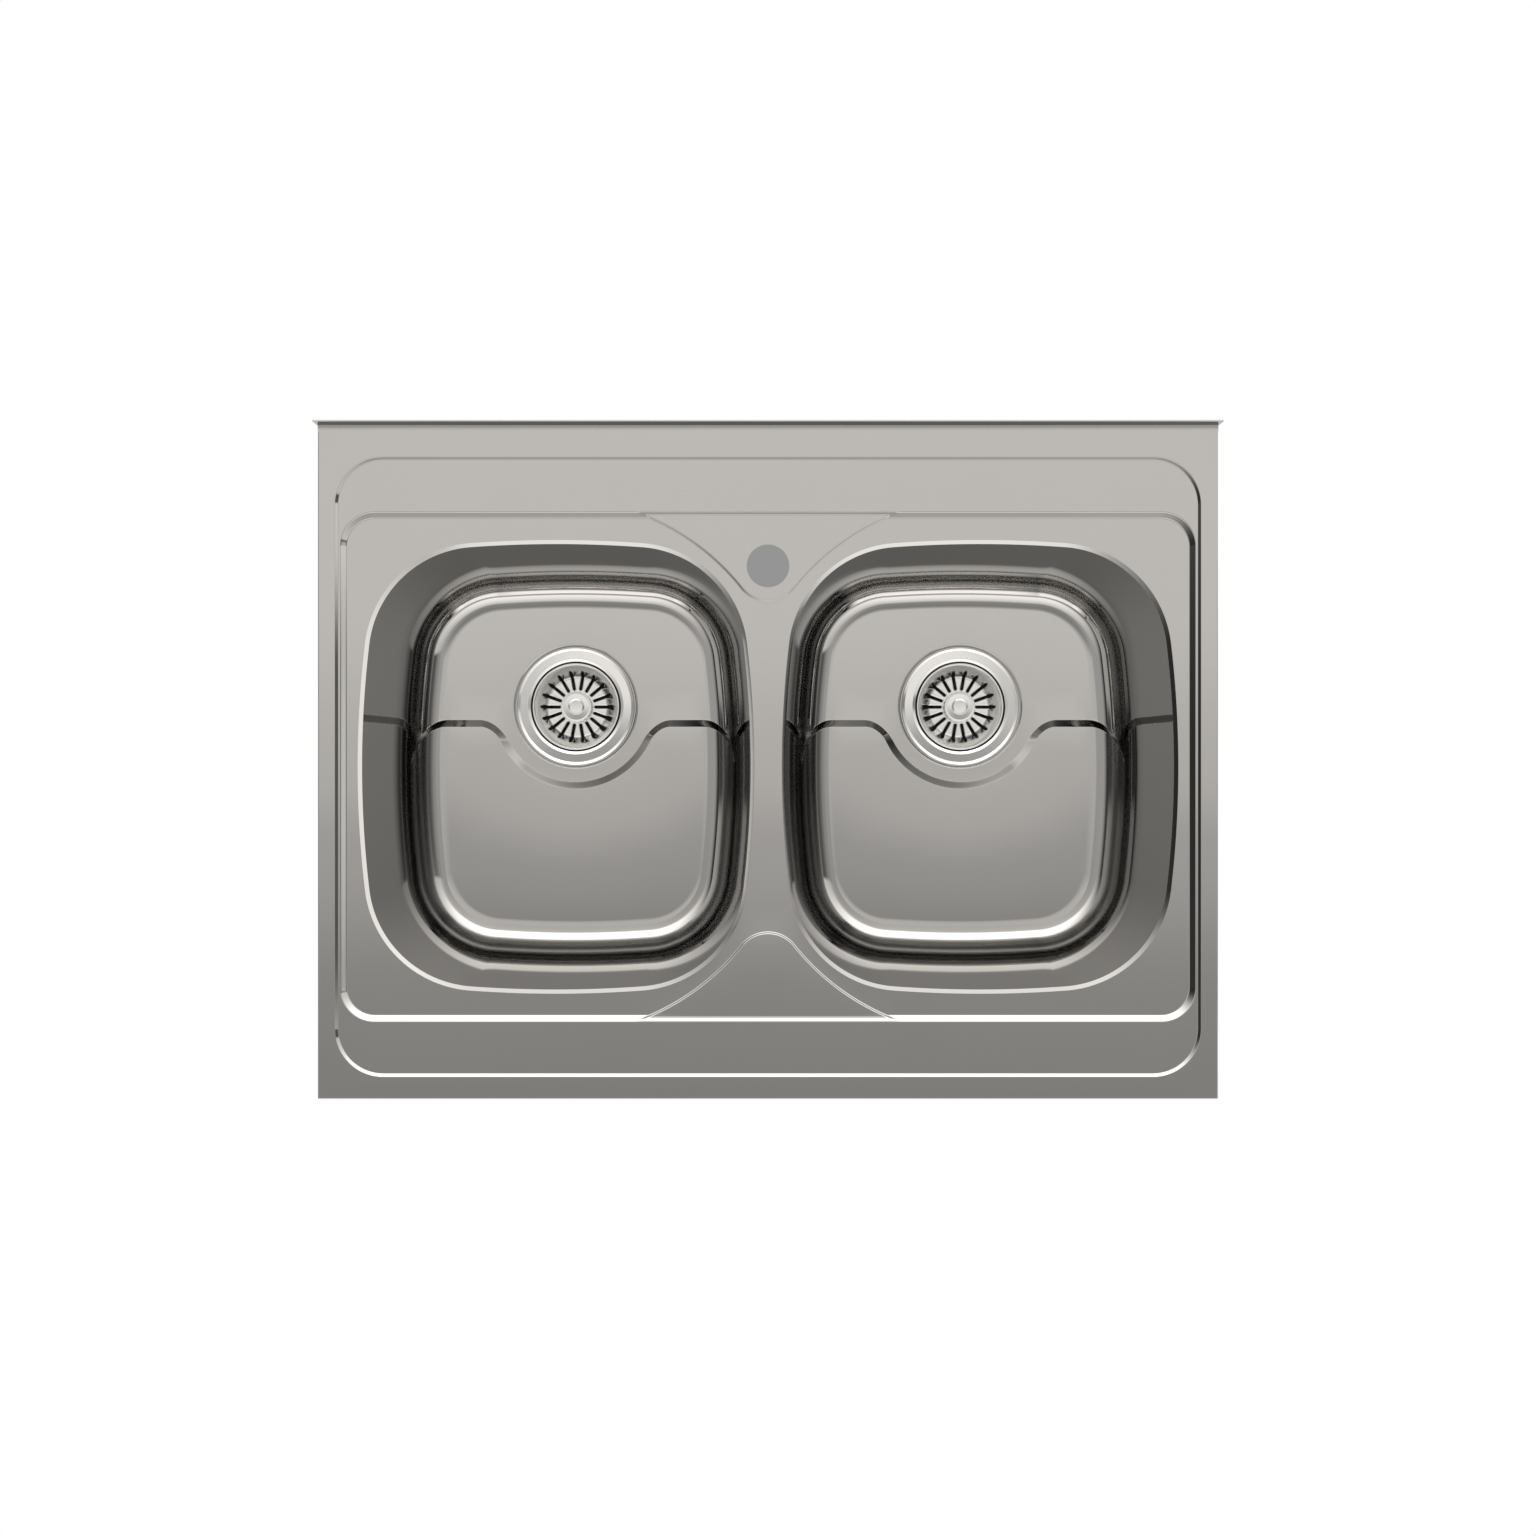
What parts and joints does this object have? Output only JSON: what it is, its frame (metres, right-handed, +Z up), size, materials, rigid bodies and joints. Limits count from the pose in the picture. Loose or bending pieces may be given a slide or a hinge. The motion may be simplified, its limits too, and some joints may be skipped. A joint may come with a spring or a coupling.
{
  "type": "lay-on kitchen sink",
  "caption": "Lay-on stainless kitchen sink with two deep bowls, stepped pressed deck, rear upstand, central tap hole and lift-out basket strainers.",
  "frame": {"origin": "middle of the sink in plan, on the plane of the return lips that rest on the cabinet's top edge", "axes": "+X to the user's right along the front edge, +Y to the wall behind the sink, +Z up"},
  "size_m": [0.8, 0.6, 0.2923],
  "materials": {
    "deck_steel": "satin polished stainless sheet",
    "rail_steel": "galvanised steel strip",
    "sound_pad": "bitumen sound pad",
    "strainer_steel": "bright satin stainless",
    "screw_steel": "plain stainless",
    "nut_brass": "turned",
    "seal_rubber": "moulded rubber",
    "waste_plastic": "moulded white plastic"
  },
  "bodies": {
    "sink": {"deck": "deck_steel", "rear_rail": "rail_steel", "front_stiffener": "rail_steel", "rear_stiffener": "rail_steel", "tap_plate": "rail_steel", "left_bowl": "deck_steel", "left_bowl_pad": "sound_pad", "left_strainer_flange": "strainer_steel", "left_flange_seal": "seal_rubber", "left_body_gasket": "seal_rubber", "left_waste_body": "waste_plastic", "left_centre_nut": "nut_brass", "left_centre_screw": "screw_steel", "right_bowl": "deck_steel", "right_bowl_pad": "sound_pad", "right_strainer_flange": "strainer_steel", "right_flange_seal": "seal_rubber", "right_body_gasket": "seal_rubber", "right_waste_body": "waste_plastic", "right_centre_nut": "nut_brass", "right_centre_screw": "screw_steel"},
    "left_basket": {"left_basket": "strainer_steel"},
    "left_knob": {"left_knob": "strainer_steel", "left_basket_pin": "screw_steel", "left_stopper_seal": "seal_rubber"},
    "right_basket": {"right_basket": "strainer_steel"},
    "right_knob": {"right_knob": "strainer_steel", "right_basket_pin": "screw_steel", "right_stopper_seal": "seal_rubber"}
  },
  "joints": [
    {"name": "left_basket_lift", "type": "slide", "parent": "sink", "child": "left_basket", "axis": [0, 0, 1], "range_m": [0, 0.25]},
    {"name": "left_knob_turn", "type": "hinge", "parent": "left_basket", "child": "left_knob", "pos_m": [-0.189, 0.0547, -0.16], "axis": [0, 0, 1], "continuous": true},
    {"name": "right_basket_lift", "type": "slide", "parent": "sink", "child": "right_basket", "axis": [0, 0, 1], "range_m": [0, 0.25]},
    {"name": "right_knob_turn", "type": "hinge", "parent": "right_basket", "child": "right_knob", "pos_m": [0.189, 0.0547, -0.16], "axis": [0, 0, 1], "continuous": true}
  ]
}
